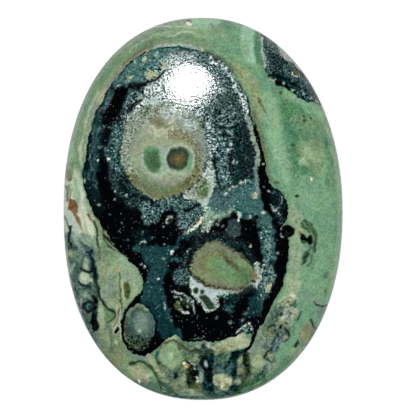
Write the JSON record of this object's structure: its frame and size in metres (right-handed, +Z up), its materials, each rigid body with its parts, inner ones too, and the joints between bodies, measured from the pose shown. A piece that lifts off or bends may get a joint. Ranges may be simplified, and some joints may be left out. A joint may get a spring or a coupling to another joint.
{
  "type": "star galaxy jasper cabochon",
  "caption": "Oval cabochon of green and black orbicular jasper: a polished dome over a low bevelled edge and a flat back, to lie on a surface or sit in a bezel.",
  "frame": {"origin": "middle of the flat back, on the surface that the stone lies on", "axes": "+Z up out of the domed face, +Y along the oval towards its narrower end, +X across it"},
  "size_m": [0.0292, 0.04, 0.008],
  "materials": {
    "polished_jasper": "mirror polish on the face, jade green matrix with teal-black pools and olive orbs, satin on the ground back"
  },
  "bodies": {
    "root": {"cabochon": "polished_jasper"}
  },
  "joints": []
}
